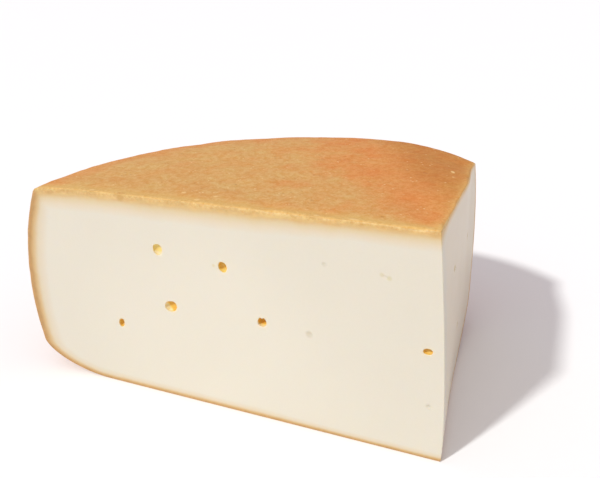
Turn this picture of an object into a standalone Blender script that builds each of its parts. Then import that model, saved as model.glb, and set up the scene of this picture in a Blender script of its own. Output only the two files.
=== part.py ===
"""A half wheel of goat alpine cheese with its right end cut off, lying flat on its base.

The wheel is turned from its rim profile, with a slow wave around it, and is then cut: once
straight down through the middle, which leaves the large front face, and once more across the
right end. The gas holes that the two cuts opened are small pits in the cut faces.

Sizes are in metres, +Z is up, and the front cut face looks along -Y.
"""

import bmesh
import bpy
import numpy as np
from mathutils import Euler, Vector, noise

# The wheel
WHEEL_HEIGHT = 0.100
TOP_EDGE_RADIUS = 0.1167  # the crisp upper edge of the rim
TOP_EDGE_HEIGHT = 0.0977
TOP_EDGE_ROUND = 0.0018
BULGE_RADIUS = 0.1297  # where the rim stands out farthest
BULGE_HEIGHT = 0.042
HEEL_RADIUS = 0.1272  # where the rim turns in under the wheel
HEEL_HEIGHT = 0.0145
FOOT_RADIUS = 0.0850  # the flat that the wheel rests on
TOP_FLAT_RADIUS = 0.0800  # outside this the top falls slowly to the rim
SIDE_POWER = 2.1  # how late the side turns in towards the upper edge
HEEL_POWER = 0.64  # how sharply the heel turns up

# Slow unevenness of a wheel that has matured on a board
SEGMENTS = 168
RIM_WAVES = ((0.0004, 8, 0.0), (0.0006, 3, 40.0), (0.0004, 5, 110.0))  # depth, lobes, turn in degrees
CORNER_SAG = 0.0026  # the upper edge is lower beside the end cut
CORNER_SAG_AT = 45.0
CORNER_SAG_WIDTH = 12.0
CORNER_LIFT = 0.0010  # and a little higher just behind it
CORNER_LIFT_AT = 74.0
RIND_RELIEF = 0.00022
RIND_RELIEF_SIZE = 0.016
RELIEF_START = 0.006  # the relief fades out below this height

# The cuts
CENTRE_BEHIND_CUT = 0.0077  # the wheel's axis lies this far behind the front cut
END_TOP_X = 0.0759
END_FOOT_X = 0.0773
END_FOOT_TURN = 0.120  # slope of the end cut along the base
END_FOOT_BOW = 0.40
END_TOP_HOOK = 0.0036  # the knife drifts in by this much as it leaves the rind
END_HOOK_START = 0.055
END_HOOK_END = 0.095
END_BELLY = 0.0017  # the end cut bows out along its edge with the front cut
END_BELLY_POWER = 0.66  # puts the widest place at about a third of the height
END_BELLY_FADE = 0.060
BLOCK = 0.030  # how far the cutting blocks reach past the wheel

# Gas holes: along the face, height, half width, half height, depth, turn in degrees
FRONT_HOLES = (
    ("eye_1", -0.0493, 0.0756, 0.00225, 0.00265, 0.0016, 10.0),
    ("eye_2", -0.0165, 0.0719, 0.00205, 0.00260, 0.0036, -12.0),
    ("eye_3", -0.0455, 0.0480, 0.00330, 0.00250, 0.0026, -20.0),
    ("eye_4", -0.0752, 0.0339, 0.00150, 0.00235, 0.0030, 14.0),
    ("eye_5", 0.0007, 0.0486, 0.00205, 0.00200, 0.0038, 30.0),
    ("eye_6", 0.0718, 0.0496, 0.00185, 0.00135, 0.0030, -4.0),
)
END_HOLES = (
    ("eye_7", 0.0560, 0.0300, 0.00170, 0.00150, 0.0026, 15.0),
    ("eye_8", 0.0860, 0.0620, 0.00150, 0.00190, 0.0026, -25.0),
    ("eye_9", 0.0290, 0.0720, 0.00130, 0.00140, 0.0020, 0.0),
)
HOLE_BEHIND_FACE = 0.25  # share of a hole's depth by which its middle lies behind the face
HOLE_UNEVENNESS = 0.12
HOLE_UNEVENNESS_SIZE = 1.3
SHARP_ANGLE = 38.0  # edges that turn by more than this stay crisp

PASTE_COLOUR = (0.855, 0.790, 0.650)
RIND_COLOUR = (0.690, 0.370, 0.135)
SEED = 7


def clear_scene():
    for obj in list(bpy.data.objects):
        bpy.data.objects.remove(obj, do_unlink=True)


def make_material(name, colour, roughness):
    material = bpy.data.materials.new(name)
    material.use_nodes = True
    shader = material.node_tree.nodes["Principled BSDF"]
    shader.inputs["Base Color"].default_value = (*colour, 1.0)
    shader.inputs["Roughness"].default_value = roughness
    shader.inputs["Metallic"].default_value = 0.0
    material.diffuse_color = (*colour, 1.0)
    return material


def mesh_object(name, points, faces, material):
    mesh = bpy.data.meshes.new(name)
    mesh.from_pydata([tuple(p) for p in points], [], faces)
    mesh.materials.append(material)
    mesh.validate()
    mesh.update()
    obj = bpy.data.objects.new(name, mesh)
    bpy.context.scene.collection.objects.link(obj)
    return obj


def smooth_step(start, end, value):
    t = min(max((value - start) / (end - start), 0.0), 1.0)
    return t * t * (3.0 - 2.0 * t)


def rim_profile():
    """Radius and height down the wheel's section, from near the middle of the top to the foot."""
    top = []
    for share in np.linspace(0.12, 1.0, 8):
        top.append((TOP_FLAT_RADIUS * share, WHEEL_HEIGHT))
    fall = WHEEL_HEIGHT - TOP_EDGE_HEIGHT
    for share in np.linspace(0.0, 1.0, 5)[1:]:
        radius = TOP_FLAT_RADIUS + (TOP_EDGE_RADIUS - TOP_FLAT_RADIUS) * share
        top.append((radius, WHEEL_HEIGHT - fall * share**2))

    side = []
    for share in np.linspace(1.0, 0.0, 9):
        height = BULGE_HEIGHT + (TOP_EDGE_HEIGHT - BULGE_HEIGHT) * share
        side.append((BULGE_RADIUS - (BULGE_RADIUS - TOP_EDGE_RADIUS) * share**SIDE_POWER, height))
    for share in (0.5, 1.0):
        height = BULGE_HEIGHT - (BULGE_HEIGHT - HEEL_HEIGHT) * share
        side.append((BULGE_RADIUS - (BULGE_RADIUS - HEEL_RADIUS) * share**2, height))

    heel = []
    for share in (0.97, 0.90, 0.80, 0.66, 0.48, 0.28, 0.0):
        radius = FOOT_RADIUS + (HEEL_RADIUS - FOOT_RADIUS) * share
        heel.append((radius, HEEL_HEIGHT * (1.0 - (1.0 - share**2) ** HEEL_POWER)))

    foot = [(FOOT_RADIUS * share, 0.0) for share in (0.75, 0.45, 0.15)]
    return round_corner(top, side, TOP_EDGE_ROUND) + heel + foot


def round_corner(before, after, radius):
    """Two runs of points that meet at one corner, joined by a short curve in its place."""
    corner = Vector(before[-1])
    back = (Vector(before[-2]) - corner).normalized() * radius
    ahead = (Vector(after[1]) - corner).normalized() * radius
    curve = []
    for t in (0.0, 0.5, 1.0):
        point = corner + back * (1.0 - t) ** 2 + ahead * t**2
        curve.append((point.x, point.y))
    return before[:-1] + curve + after[1:]


def wheel_points(profile):
    """The profile turned about Z, with the slow waves of the rim and the sag of its upper edge."""
    points = []
    for radius, height in profile:
        outward = smooth_step(FOOT_RADIUS, TOP_EDGE_RADIUS, radius)
        raised = smooth_step(0.5 * WHEEL_HEIGHT, WHEEL_HEIGHT, height)
        for step in range(SEGMENTS):
            turn = 360.0 * step / SEGMENTS
            wave = sum(
                depth * np.cos(np.radians(lobes * (turn - 180.0) + shift))
                for depth, lobes, shift in RIM_WAVES
            )
            sag = CORNER_SAG * np.exp(-(((turn - CORNER_SAG_AT) / CORNER_SAG_WIDTH) ** 2))
            lift = CORNER_LIFT * np.exp(-(((turn - CORNER_LIFT_AT) / CORNER_SAG_WIDTH) ** 2))
            around = radius + wave * outward
            place = Vector((around * np.cos(np.radians(turn)), around * np.sin(np.radians(turn)), height))
            place.z += (lift - sag) * outward * raised
            above_foot = smooth_step(0.0, RELIEF_START, height)
            grain = noise.noise(place / RIND_RELIEF_SIZE, noise_basis="PERLIN_ORIGINAL")
            out = Vector((place.x, place.y, 0.0)).normalized() * outward + Vector((0.0, 0.0, raised))
            points.append(place + out * RIND_RELIEF * grain * above_foot)
    return points


def build_wheel(material):
    profile = rim_profile()
    points = wheel_points(profile)
    faces = []
    for ring in range(len(profile) - 1):
        for step in range(SEGMENTS):
            ahead = (step + 1) % SEGMENTS
            upper, lower = ring * SEGMENTS, (ring + 1) * SEGMENTS
            faces.append((upper + step, lower + step, lower + ahead, upper + ahead))
    last = (len(profile) - 1) * SEGMENTS
    faces.append(tuple(range(SEGMENTS)))
    faces.append(tuple(last + step for step in reversed(range(SEGMENTS))))
    wheel = mesh_object("cheese_half_wheel", points, faces, material)
    wheel.location = (0.0, CENTRE_BEHIND_CUT, 0.0)
    return wheel


def build_block(name, low, high, material):
    """A plain box between two corners."""
    mesh = bpy.data.meshes.new(name)
    shape = bmesh.new()
    bmesh.ops.create_cube(shape, size=1.0)
    middle = (Vector(low) + Vector(high)) / 2
    for vertex in shape.verts:
        vertex.co = Vector(a * b for a, b in zip(vertex.co, Vector(high) - Vector(low))) + middle
    shape.to_mesh(mesh)
    shape.free()
    mesh.materials.append(material)
    block = bpy.data.objects.new(name, mesh)
    bpy.context.scene.collection.objects.link(block)
    return block


def end_cut_x(y, z):
    """Where the end cut runs, at a distance y behind the front cut and a height z."""
    top = END_TOP_X - END_TOP_HOOK * smooth_step(END_HOOK_START, END_HOOK_END, y)
    foot = END_FOOT_X - END_FOOT_TURN * y + END_FOOT_BOW * y**2
    share = min(max(z / WHEEL_HEIGHT, 0.0), 1.0) ** END_BELLY_POWER
    belly = END_BELLY * 4.0 * share * (1.0 - share) * (1.0 - smooth_step(0.0, END_BELLY_FADE, y))
    return foot + (top - foot) * z / WHEEL_HEIGHT + belly


def build_end_block(material):
    """The block beyond the end cut: a slab whose near side follows the slightly twisted cut."""
    across = np.linspace(-BLOCK, 0.165, 27)
    heights = np.linspace(-0.01, WHEEL_HEIGHT + 0.01, 25)
    outside = BULGE_RADIUS + BLOCK
    points = [(end_cut_x(y, z), y, z) for y in across for z in heights]
    points += [(outside, y, z) for y in across for z in heights]
    rows, half = len(heights), len(across) * len(heights)
    faces = []
    for i in range(len(across) - 1):
        for j in range(rows - 1):
            a, b, c, d = i * rows + j, (i + 1) * rows + j, (i + 1) * rows + j + 1, i * rows + j + 1
            faces.append((a, d, c, b))
            faces.append((half + a, half + b, half + c, half + d))
        low, ahead = i * rows, (i + 1) * rows
        faces.append((low, ahead, half + ahead, half + low))
        low, ahead = low + rows - 1, ahead + rows - 1
        faces.append((low, half + low, half + ahead, ahead))
    for j in range(rows - 1):
        faces.append((j, half + j, half + j + 1, j + 1))
        far = half - rows + j
        faces.append((far, far + 1, half + far + 1, half + far))
    return mesh_object("end_block", points, faces, material)


def build_hole(name, place, half_sizes, rotation, material):
    """An uneven rounded body that leaves one gas hole where it crosses a cut face."""
    mesh = bpy.data.meshes.new(name)
    shape = bmesh.new()
    bmesh.ops.create_icosphere(shape, subdivisions=3, radius=1.0)
    offset = Vector((SEED, 3.0 * len(bpy.data.objects), 0.0))
    for vertex in shape.verts:
        swell = 1.0 + HOLE_UNEVENNESS * noise.noise(vertex.co * HOLE_UNEVENNESS_SIZE + offset)
        vertex.co = Vector(a * b for a, b in zip(vertex.co * swell, half_sizes))
    shape.to_mesh(mesh)
    shape.free()
    mesh.materials.append(material)
    hole = bpy.data.objects.new(name, mesh)
    hole.location = place
    hole.rotation_euler = rotation
    bpy.context.scene.collection.objects.link(hole)
    return hole


def cut_away(solid, cutter):
    """Takes the cutter's shape out of the solid, and keeps the cutter as a hidden guide."""
    modifier = solid.modifiers.new(cutter.name, "BOOLEAN")
    modifier.operation = "DIFFERENCE"
    modifier.solver = "EXACT"
    modifier.material_mode = "TRANSFER"
    modifier.object = cutter
    cutter.hide_render = True
    cutter.display_type = "WIRE"


def stand_on_origin(solid, helpers):
    """Moves everything so that the middle of the finished solid's base lies at the origin."""
    bpy.context.view_layer.update()
    graph = bpy.context.evaluated_depsgraph_get()
    finished = solid.evaluated_get(graph)
    mesh = finished.to_mesh()
    corners = np.array([finished.matrix_world @ vertex.co for vertex in mesh.vertices])
    finished.to_mesh_clear()
    low, high = corners.min(axis=0), corners.max(axis=0)
    shift = Vector(((low[0] + high[0]) / 2, (low[1] + high[1]) / 2, low[2]))
    for obj in (solid, *helpers):
        obj.location = obj.location - shift


def main():
    clear_scene()
    rind = make_material("rind", RIND_COLOUR, 0.75)
    paste = make_material("paste", PASTE_COLOUR, 0.50)

    wheel = build_wheel(rind)
    reach = BULGE_RADIUS + BLOCK
    front = build_block("front_block", (-reach, -reach, -0.01), (reach, 0.0, WHEEL_HEIGHT + 0.01), paste)
    cutters = [front, build_end_block(paste)]

    for name, x, z, half_width, half_height, depth, turn in FRONT_HOLES:
        place = (x, depth * HOLE_BEHIND_FACE, z)
        sizes = (half_width, depth, half_height)
        cutters.append(build_hole(name, place, sizes, Euler((0.0, np.radians(turn), 0.0)), paste))
    for name, y, z, half_width, half_height, depth, turn in END_HOLES:
        place = (end_cut_x(y, z) - depth * HOLE_BEHIND_FACE, y, z)
        sizes = (depth, half_width, half_height)
        cutters.append(build_hole(name, place, sizes, Euler((np.radians(turn), 0.0, 0.0)), paste))

    for cutter in cutters:
        cut_away(wheel, cutter)
    wheel.data.shade_smooth()
    wheel.data.set_sharp_from_angle(angle=np.radians(SHARP_ANGLE))
    stand_on_origin(wheel, cutters)


main()
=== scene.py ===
"""A half wheel of goat alpine cheese with one end cut off, dressed for rendering.

The cheese is one closed surface. Rows of points run round its outline, from the middle of the base,
over the heel and up the rim and the two cut faces, and across the top to its middle. Each gas hole
and faint dimple takes the place of a small block of the cut face's grid, with rings of its own.
Sizes are in metres, +Z is up, and the front cut looks along -Y.
"""

import logging
from dataclasses import dataclass, field
from enum import Enum
from typing import Any, Callable, Mapping, Sequence

import bpy
import numpy as np
from mathutils import Matrix, Vector


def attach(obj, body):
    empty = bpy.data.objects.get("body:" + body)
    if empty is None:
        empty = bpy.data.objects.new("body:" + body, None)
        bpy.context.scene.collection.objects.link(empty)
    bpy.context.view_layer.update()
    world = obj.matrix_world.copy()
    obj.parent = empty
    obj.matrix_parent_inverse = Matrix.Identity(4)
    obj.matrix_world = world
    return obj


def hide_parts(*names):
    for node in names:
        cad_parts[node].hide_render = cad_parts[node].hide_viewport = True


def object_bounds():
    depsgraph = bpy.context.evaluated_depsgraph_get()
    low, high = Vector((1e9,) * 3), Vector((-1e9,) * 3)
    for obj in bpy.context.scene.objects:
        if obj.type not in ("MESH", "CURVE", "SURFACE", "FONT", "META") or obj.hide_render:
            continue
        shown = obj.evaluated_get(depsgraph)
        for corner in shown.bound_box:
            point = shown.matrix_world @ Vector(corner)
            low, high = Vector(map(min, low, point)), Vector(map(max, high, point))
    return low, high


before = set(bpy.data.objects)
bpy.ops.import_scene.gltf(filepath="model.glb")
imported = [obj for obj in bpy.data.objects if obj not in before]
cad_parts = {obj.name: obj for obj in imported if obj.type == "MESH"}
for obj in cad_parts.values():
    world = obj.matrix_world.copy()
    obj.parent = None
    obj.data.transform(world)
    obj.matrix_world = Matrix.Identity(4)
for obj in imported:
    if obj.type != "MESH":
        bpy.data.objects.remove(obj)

CAD_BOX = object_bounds()
NODE = "cheese_half_wheel"
log = logging.getLogger("cheese")

Array = np.ndarray
Pair = tuple[float, float]
Triple = tuple[float, float, float]
Shade = tuple[float, float, float]  # red, green and blue as they show, 0 to 255
Tint = tuple[float, float, float]  # factors for red, green and blue
Colour = tuple[float, float, float, float]  # linear red, green and blue, with alpha
Section = tuple[tuple[float, Shade], ...]  # shades, each with its depth in millimetres
Fade = tuple[float, float, float]  # where an eased step starts and ends, and how much it counts
Layers = tuple[tuple[Fade, Shade], ...]  # shades, each laid where a noise takes the fade's step
Settings = Mapping[str, Any]
Inputs = Mapping[str | int, Any]


def share_of(start: float, end: float, value: Array | float) -> Array:
    """Share of the way from start to end, held to 0..1."""
    return np.clip((np.asarray(value, dtype=float) - start) / (end - start), 0.0, 1.0)


def smooth_step(start: float, end: float, value: Array | float) -> Array:
    """Share of the way from start to end, eased as 3t^2 - 2t^3."""
    share = share_of(start, end, value)
    return share * share * (3.0 - 2.0 * share)


def window(share: Array, edge: float) -> Array:
    """1 in the middle of a run of shares, easing to 0 within the edge at both of its ends."""
    return smooth_step(0.0, edge, share) * smooth_step(0.0, edge, 1.0 - share)


def joined(*parts: Array | float) -> Array:
    """Puts values side by side along a last axis."""
    return np.stack(np.broadcast_arrays(*parts), axis=-1)


def linear(shade: Shade, light: float = 1.0) -> Colour:
    """Linear colour of a surface that shows as the given sRGB colour under a given light.

    Args:
        shade: the colour as it shows.
        light: how much light falls on it, where 1 shows a surface as it is.

    Returns:
        The colour.
    """
    shown = np.array(shade) / 255.0
    flat = np.where(shown <= 0.04045, shown / 12.92, ((shown + 0.055) / 1.055) ** 2.4) / light
    return (float(flat[0]), float(flat[1]), float(flat[2]), 1.0)


class Swell:
    """Smooth random unevenness in space.

    Each point of a cubic lattice has a seeded value between -1 and 1, and a place between them takes
    the eased blend of the eight corners of its cell.
    """

    def __init__(self, seed: int) -> None:
        """Draws the table of lattice values."""
        self.table = np.random.default_rng(seed).uniform(-1.0, 1.0, 8192)

    def at(self, points: Array, size: float) -> Array:
        """Unevenness at each point.

        Args:
            points: places, one row each.
            size: edge of a lattice cell.

        Returns:
            One value between -1 and 1 for each row.
        """
        cell = points / size
        low = np.floor(cell).astype(np.int64)
        part = smooth_step(0.0, 1.0, cell - low)
        total = np.zeros(len(points))
        for corner in np.ndindex(2, 2, 2):
            where = low + np.array(corner)
            pick = (where[:, 0] * 73856093 ^ where[:, 1] * 19349663 ^ where[:, 2] * 83492791) % 8192
            share = np.prod(np.where(np.array(corner, dtype=bool), part, 1.0 - part), axis=1)
            total += share * self.table[pick]
        return total

    def rough(self, points: Array, size: float, layers: int = 3) -> Array:
        """Unevenness with finer and weaker layers added, each half the size and half the height."""
        return sum(self.at(points + 7.3 * n, size / 2**n) / 2**n for n in range(layers))


@dataclass(frozen=True)
class WheelForm:
    """The whole wheel before it is cut, turned about the Z axis, with its slow unevenness."""

    height: float = 0.100
    top_flat_radius: float = 0.0800
    top_edge_radius: float = 0.1167
    top_edge_height: float = 0.0977
    top_edge_round: float = 0.0018
    bulge_radius: float = 0.1297
    bulge_height: float = 0.042
    heel_radius: float = 0.1272
    heel_height: float = 0.0145
    foot_radius: float = 0.0850
    side_power: float = 2.1
    heel_power: float = 1.28
    rim_waves: tuple[tuple[float, int, float], ...] = (
        (0.0004, 8, 0.0),
        (0.0006, 3, 40.0),
        (0.0004, 5, 110.0),
    )
    rise_start: float = 0.5
    crown_start: float = 0.8
    sag: float = 0.0026
    sag_at: float = 45.0
    sag_width: float = 12.0
    lift: float = 0.0010
    lift_at: float = 74.0
    relief: float = 0.00022
    relief_size: float = 0.016
    pimple: float = 0.00009
    pimple_size: float = 0.0042
    swell: Swell = field(default_factory=lambda: Swell(7))

    def heel_rows(self, count: int) -> tuple[Array, Array]:
        """Radii and heights from the foot to the top of the heel.

        With an angle a from 0 to 90 degrees, the radius goes from the foot to the heel as sin a, and
        the height is the heel's height times 1 - cos(a)^p, with p the heel's power.

        Args:
            count: number of rows.

        Returns:
            Radii and heights, from the foot up.
        """
        angle = np.linspace(0.0, 0.5 * np.pi, count)
        radius = self.foot_radius + (self.heel_radius - self.foot_radius) * np.sin(angle)
        return radius, self.heel_height * (1.0 - np.cos(angle) ** self.heel_power)

    def side_radius(self, height: Array) -> Array:
        """Radius of the rim at a height.

        With t the share of the way from the bulge to the upper edge, the rim is drawn in as t^p, with
        p the side's power. Below the bulge it is drawn in as the square of the share to the heel.

        Args:
            height: heights on the rim.

        Returns:
            One radius for each height.
        """
        above = (height - self.bulge_height) / (self.top_edge_height - self.bulge_height)
        below = (self.bulge_height - height) / (self.bulge_height - self.heel_height)
        pulled = (self.bulge_radius - self.top_edge_radius) * np.clip(above, 0.0, None) ** self.side_power
        tucked = (self.bulge_radius - self.heel_radius) * np.clip(below, 0.0, None) ** 2
        return self.bulge_radius - pulled - tucked

    def round_rows(self, shares: Array) -> tuple[Array, Array]:
        """Radii and heights over the rounded upper edge.

        The curve is corner + back (1 - t)^2 + ahead t^2, where back and ahead are one rounding's
        length along the top and down the side.

        Args:
            shares: t of each row, 1 on the side and 0 on the top.

        Returns:
            Radii and heights.
        """
        fall = self.height - self.top_edge_height
        slope = -2.0 * fall / (self.top_edge_radius - self.top_flat_radius)
        back = np.array((-1.0, -slope)) / np.hypot(1.0, slope) * self.top_edge_round
        lower = self.top_edge_height - self.top_edge_round
        side = float(self.side_radius(np.array(lower)))
        down = np.array((side - self.top_edge_radius, lower - self.top_edge_height))
        ahead = down / np.hypot(*down) * self.top_edge_round
        curve = back * (1.0 - shares[:, None]) ** 2 + ahead * shares[:, None] ** 2
        return self.top_edge_radius + curve[:, 0], self.top_edge_height + curve[:, 1]

    def top_curve(self, radius: Array) -> Array:
        """Height of the top at a radius: flat, then falling as the square, then the rounded edge.

        Args:
            radius: radii about the wheel's axis.

        Returns:
            One height for each radius.
        """
        share = share_of(self.top_flat_radius, self.top_edge_radius, radius)
        falling = self.height - (self.height - self.top_edge_height) * share**2
        edge_radius, edge_height = self.round_rows(np.linspace(0.0, 0.6, 25))
        rounded = np.interp(radius, edge_radius, edge_height)
        return np.where(radius > edge_radius[0], rounded, falling)

    def base_curve(self, radius: Array) -> Array:
        """Height of the underside at a radius: nothing inside the foot, the heel's curve outside."""
        share = share_of(self.foot_radius, self.heel_radius, radius)
        return self.heel_height * (1.0 - (1.0 - share**2) ** (0.5 * self.heel_power))

    def wave(self, turn: Array) -> Array:
        """How far the rim stands out at an angle in degrees: a sum of slow cosines."""
        away = turn - 180.0
        return sum(size * np.cos(np.radians(lobes * away + by)) for size, lobes, by in self.rim_waves)

    def rise(self, turn: Array) -> Array:
        """How far the upper edge stands above the plain wheel: one bell up and one bell down."""
        up = self.lift * np.exp(-(((turn - self.lift_at) / self.sag_width) ** 2))
        return up - self.sag * np.exp(-(((turn - self.sag_at) / self.sag_width) ** 2))

    def outward(self, radius: Array) -> Array:
        """How fully the rim's waves act at a radius."""
        return smooth_step(self.foot_radius, self.top_edge_radius, radius)

    def near_top(self, start: float, height: Array) -> Array:
        """0 below a share of the wheel's height, easing to 1 at the top."""
        return smooth_step(start * self.height, self.height, height)

    def skin(self, radius: Array, height: Array, turn: Array) -> Array:
        """Points of the wheel's skin about its own axis.

        Args:
            radius: radius on the profile.
            height: height on the profile.
            turn: angle about the axis, in degrees.

        Returns:
            Places, with a last axis of three.
        """
        out = self.outward(radius)
        around = radius + self.wave(turn) * out
        lifted = height + self.rise(turn) * out * self.near_top(self.rise_start, height)
        angle = np.radians(turn)
        place = joined(around * np.cos(angle), around * np.sin(angle), lifted)
        push = self.unevenness(place) * out * smooth_step(0.0, 0.006, height)
        crown = self.unevenness(place * np.array((1.0, 1.0, 0.0)))
        rise = crown * self.near_top(self.crown_start, height)
        return place + joined(np.cos(angle) * push, np.sin(angle) * push, rise)

    def unevenness(self, place: Array) -> Array:
        """How far the rind stands out at each place: broad swells with small pimples on them.

        Args:
            place: places, with a last axis of three.

        Returns:
            One value for each place.
        """
        flat = place.reshape(-1, 3)
        broad = self.relief * self.swell.rough(flat, self.relief_size)
        small = self.pimple * self.swell.rough(flat, self.pimple_size, 2)
        return (broad + small).reshape(place.shape[:-1])

    def top_at(self, x: Array, y: Array) -> Array:
        """Height of the wheel's top over a place beside its axis.

        Args:
            x: how far across from the axis.
            y: how far behind the axis.

        Returns:
            One height for each place.
        """
        turn = np.degrees(np.arctan2(y, x)) % 360.0
        radius = np.hypot(x, y)
        out = self.outward(radius)
        plain = self.top_curve(radius - self.wave(turn) * out)
        crown = self.unevenness(joined(x, y, 0.0))
        raised = plain + self.rise(turn) * out * self.near_top(self.rise_start, plain)
        return raised + crown * self.near_top(self.crown_start, plain)


@dataclass(frozen=True)
class Cuts:
    """The two knife cuts, in the wheel's own frame moved so that the front cut is at y = 0."""

    centre_behind: float = 0.0077
    end_top_x: float = 0.0759
    end_foot_x: float = 0.0773
    end_foot_turn: float = 0.120
    end_foot_bow: float = 0.40
    end_hook: float = 0.0036
    hook_start: float = 0.055
    hook_end: float = 0.095
    belly: float = 0.0017
    belly_power: float = 0.66
    belly_fade: float = 0.060
    samples: int = 201

    def end_x(self, y: Array, z: Array, height: float) -> Array:
        """Where the end cut runs: a line in z between a bowed foot and a hooked top, with a belly.

        The belly is 4 s (1 - s) of its full depth, with s the share of the height to its power. It
        fades out behind the front cut.

        Args:
            y: distance behind the front cut.
            z: height over the base.
            height: height of the wheel.

        Returns:
            The cut's x at each place.
        """
        top = self.end_top_x - self.end_hook * smooth_step(self.hook_start, self.hook_end, y)
        foot = self.end_foot_x - self.end_foot_turn * y + self.end_foot_bow * y**2
        share = np.clip(z / height, 0.0, 1.0) ** self.belly_power
        belly = self.belly * 4.0 * share * (1.0 - share) * (1.0 - smooth_step(0.0, self.belly_fade, y))
        return foot + (top - foot) * z / height + belly

    def reach(self, height: float) -> float:
        """How far out the end cut stands along its edge with the front cut, at most."""
        up = np.linspace(0.0, height, self.samples)
        return float(np.max(self.end_x(np.zeros(self.samples), up, height)))


class Side(Enum):
    """The cut face that a hole opens on."""

    FRONT = "front"
    END = "end"


class Mouth(Enum):
    """How a hole meets the face."""

    OPEN = "open"
    DIMPLE = "dimple"


OUTSIDE_SHARES = (0.55, 0.26, 0.08)
OPEN_ANGLES = (0.0, 4.0, 11.0, 21.0, 32.0, 44.0, 56.0, 68.0, 79.0)
DIMPLE_SIZES = (1.0, 0.86, 0.7, 0.54, 0.36, 0.18)
RIM_UNEVENNESS = ((0.05, 1.7), (0.04, 5.0))
PEAKS_WIDTH = 60.0
PEAKS_LOBES = 6.0


@dataclass(frozen=True)
class GasHole:
    """One gas hole or faint dimple in a cut face.

    It lies along the front cut from the wheel's axis, or along the end cut from the front. Its painted
    shade is how dark the shade painted on its wall is, and pale side how much of that is missing on
    its shallow side. The lean and the peaks are shares of its size, and columns and rows say how far
    its block of the grid goes.
    """

    name: str
    side: Side
    along: float
    height: float
    half_width: float
    half_height: float
    depth: float
    turn: float
    painted_shade: float
    mouth: Mouth = Mouth.OPEN
    pale_side: float = 0.0
    pale_turn: float = 270.0
    lean: float = 0.0
    peaks: float = 0.0
    columns: int = 4
    rows: int = 4

    @property
    def axis(self) -> int:
        """The axis that runs along the hole's face: 0 for x and 1 for y."""
        return 0 if self.side is Side.FRONT else 1

    def pale_way(self) -> Array:
        """Direction in the face towards the hole's shallow, pale side."""
        turn = np.radians(self.pale_turn)
        return np.array((np.cos(turn), np.sin(turn)))

    def rim(self, angle: Array, swell: Swell) -> Array:
        """Distance of the mouth's edge from its middle: a turned ellipse with a little unevenness.

        A hole with peaks also has two of them, on either side of straight up.

        Args:
            angle: directions in the face, in radians.
            swell: the unevenness to use.

        Returns:
            One distance for each direction.
        """
        own = angle + np.radians(self.turn if self.side is Side.FRONT else -self.turn)
        plain = 1.0 / np.hypot(np.cos(own) / self.half_width, np.sin(own) / self.half_height)
        ring = joined(np.cos(angle), np.sin(angle), 40.0 * self.along)
        uneven = 1.0 + sum(size * swell.at(ring * lobes, 1.0) for size, lobes in RIM_UNEVENNESS)
        up = np.degrees(angle) % 360.0 - 90.0
        twin = self.peaks * np.exp(-((up / PEAKS_WIDTH) ** 2))
        return plain * (uneven + twin * np.cos(PEAKS_LOBES * np.radians(up) + np.pi))


def ring_faces(border: Array, first: int, count: int) -> list[Array]:
    """Faces of rings round a middle point, joined to a border with half as many points.

    Args:
        border: numbers of the border's points.
        first: number of the outermost ring's first point. The middle point's is the last one.
        count: number of rings.

    Returns:
        The triangles beside the border and the middle, and the quads between the rings.
    """
    around = 2 * len(border)
    places = np.arange(around)
    after = np.roll(places, -1)
    ahead = np.roll(border, -1)
    even, odd, beyond = first + places[0::2], first + places[1::2], first + after[1::2]
    inner = first + (count - 1) * around
    middle = first + count * around
    corners = (
        (border, odd, even),
        (border, ahead, odd),
        (ahead, beyond, odd),
        (inner + places, inner + after, middle),
    )
    triangles = np.concatenate([joined(*three) for three in corners])
    ring = first + around * np.arange(count - 1)[:, None]
    near, far = ring + places, ring + after
    quads = joined(near, far, far + around, near + around).reshape(-1, 4)
    return [triangles, quads]


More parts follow.
